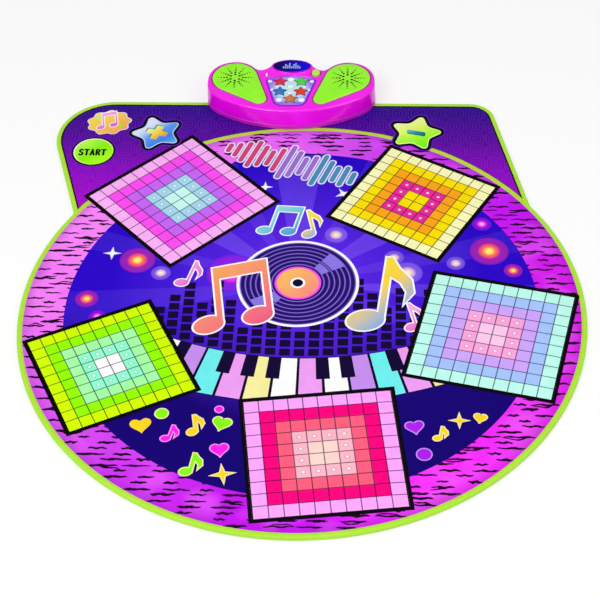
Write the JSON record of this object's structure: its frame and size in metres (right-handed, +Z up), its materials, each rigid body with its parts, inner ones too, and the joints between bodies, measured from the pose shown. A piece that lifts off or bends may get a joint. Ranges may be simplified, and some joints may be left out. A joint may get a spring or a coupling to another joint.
{
  "type": "electronic dance mat",
  "caption": "Round padded electronic dance mat with a back lobe, square touch pads, star and disc keys, and a moulded sound console with speakers on its back edge.",
  "frame": {"origin": "on the floor under the centre of the mat's round front part", "axes": "+Z up, +Y towards the console on the back edge, +X to the right as the player faces the console"},
  "size_m": [0.9197, 1.0666, 0.0524],
  "materials": {
    "backing": "woven, with non-slip dots",
    "foam": "closed-cell foam",
    "film": "clear film with printed tracks",
    "cover_vinyl": "printed vinyl, satin",
    "binding_tape": "woven tape, stitched",
    "back_left_vinyl": "printed vinyl, satin",
    "back_right_vinyl": "printed vinyl, satin",
    "right_vinyl": "printed vinyl, satin",
    "front_vinyl": "printed vinyl, satin",
    "left_vinyl": "printed vinyl, satin",
    "start_vinyl": "printed vinyl, satin",
    "plus_vinyl": "printed vinyl, satin",
    "minus_vinyl": "printed vinyl, satin",
    "housing": "moulded ABS, gloss",
    "base_housing": "moulded ABS, fine texture",
    "grille": "moulded ABS, satin",
    "panel": "translucent polystyrene",
    "lens": "tinted acrylic, polished",
    "crimson_plastic": "clear tinted ABS",
    "green_plastic": "clear tinted ABS",
    "blue_plastic": "clear tinted ABS",
    "red_plastic": "clear tinted ABS",
    "orange_plastic": "clear tinted ABS",
    "power_key": "moulded ABS, gloss",
    "light_pipe": "clear acrylic",
    "board": "solder resist on fibreglass",
    "keypad_rubber": "silicone",
    "speaker_steel": "pressed and plated",
    "cone": "pressed paper",
    "spring_steel": "nickel plated",
    "zinc_steel": "zinc plated",
    "cell": "printed steel can",
    "foot_rubber": "moulded",
    "socket": "moulded nylon"
  },
  "bodies": {
    "mat": {"bottom_sheet": "backing", "foam_core": "foam", "contact_film": "film", "spacer_sheet": "foam", "cover_sheet": "cover_vinyl", "edge_binding": "binding_tape", "console_top": "housing", "console_base": "base_housing", "battery_cell_1": "cell", "battery_cell_2": "cell", "battery_cell_3": "cell", "left_contact": "spring_steel", "right_contact": "spring_steel", "left_grille": "grille", "right_grille": "grille", "left_speaker": "speaker_steel", "right_speaker": "speaker_steel", "left_cone": "cone", "right_cone": "cone", "star_panel": "panel", "power_light": "light_pipe", "circuit_board": "board", "keypad": "keypad_rubber", "display_lens": "lens", "clamp_plate": "zinc_steel", "left_clamp_screw": "zinc_steel", "right_clamp_screw": "zinc_steel", "front_left_screw": "zinc_steel", "front_right_screw": "zinc_steel", "rear_left_screw": "zinc_steel", "rear_right_screw": "zinc_steel", "left_foot": "foot_rubber", "right_foot": "foot_rubber", "line_in_socket": "socket", "back_left_spacer": "foam", "back_right_spacer": "foam", "right_spacer": "foam", "front_spacer": "foam", "left_spacer": "foam", "start_spacer": "foam", "plus_spacer": "foam", "minus_spacer": "foam"},
    "back_left_pad": {"back_left_pad": "back_left_vinyl"},
    "back_right_pad": {"back_right_pad": "back_right_vinyl"},
    "right_pad": {"right_pad": "right_vinyl"},
    "front_pad": {"front_pad": "front_vinyl"},
    "left_pad": {"left_pad": "left_vinyl"},
    "start_key": {"start_key": "start_vinyl"},
    "plus_key": {"plus_key": "plus_vinyl"},
    "minus_key": {"minus_key": "minus_vinyl"},
    "crimson_star": {"crimson_star": "crimson_plastic"},
    "green_star": {"green_star": "green_plastic"},
    "blue_star": {"blue_star": "blue_plastic"},
    "red_star": {"red_star": "red_plastic"},
    "orange_star": {"orange_star": "orange_plastic"},
    "power_button": {"power_button": "power_key"},
    "battery_door": {"battery_door": "base_housing"}
  },
  "joints": [
    {"name": "back_left_pad_press", "type": "slide", "parent": "mat", "child": "back_left_pad", "axis": [0, 0, -1], "range_m": [0, 0.0015], "stiffness_N_per_m": 20000, "deforming": ["back_left_spacer"]},
    {"name": "back_right_pad_press", "type": "slide", "parent": "mat", "child": "back_right_pad", "axis": [0, 0, -1], "range_m": [0, 0.0015], "stiffness_N_per_m": 20000, "deforming": ["back_right_spacer"]},
    {"name": "right_pad_press", "type": "slide", "parent": "mat", "child": "right_pad", "axis": [0, 0, -1], "range_m": [0, 0.0015], "stiffness_N_per_m": 20000, "deforming": ["right_spacer"]},
    {"name": "front_pad_press", "type": "slide", "parent": "mat", "child": "front_pad", "axis": [0, 0, -1], "range_m": [0, 0.0015], "stiffness_N_per_m": 20000, "deforming": ["front_spacer"]},
    {"name": "left_pad_press", "type": "slide", "parent": "mat", "child": "left_pad", "axis": [0, 0, -1], "range_m": [0, 0.0015], "stiffness_N_per_m": 20000, "deforming": ["left_spacer"]},
    {"name": "start_key_press", "type": "slide", "parent": "mat", "child": "start_key", "axis": [0, 0, -1], "range_m": [0, 0.0015], "stiffness_N_per_m": 3000, "deforming": ["start_spacer"]},
    {"name": "plus_key_press", "type": "slide", "parent": "mat", "child": "plus_key", "axis": [0, 0, -1], "range_m": [0, 0.0015], "stiffness_N_per_m": 3000, "deforming": ["plus_spacer"]},
    {"name": "minus_key_press", "type": "slide", "parent": "mat", "child": "minus_key", "axis": [0, 0, -1], "range_m": [0, 0.0015], "stiffness_N_per_m": 3000, "deforming": ["minus_spacer"]},
    {"name": "crimson_star_press", "type": "slide", "parent": "mat", "child": "crimson_star", "axis": [0, 0, -1], "range_m": [0, 0.0012], "stiffness_N_per_m": 1500},
    {"name": "green_star_press", "type": "slide", "parent": "mat", "child": "green_star", "axis": [0, 0, -1], "range_m": [0, 0.0012], "stiffness_N_per_m": 1500},
    {"name": "blue_star_press", "type": "slide", "parent": "mat", "child": "blue_star", "axis": [0, 0, -1], "range_m": [0, 0.0012], "stiffness_N_per_m": 1500},
    {"name": "red_star_press", "type": "slide", "parent": "mat", "child": "red_star", "axis": [0, 0, -1], "range_m": [0, 0.0012], "stiffness_N_per_m": 1500},
    {"name": "orange_star_press", "type": "slide", "parent": "mat", "child": "orange_star", "axis": [0, 0, -1], "range_m": [0, 0.0012], "stiffness_N_per_m": 1500},
    {"name": "power_button_press", "type": "slide", "parent": "mat", "child": "power_button", "axis": [0, 0, -1], "range_m": [0, 0.0012], "stiffness_N_per_m": 1500},
    {"name": "battery_door_slide", "type": "slide", "parent": "mat", "child": "battery_door", "axis": [0, 1, 0], "range_m": [0, 0.06]}
  ]
}
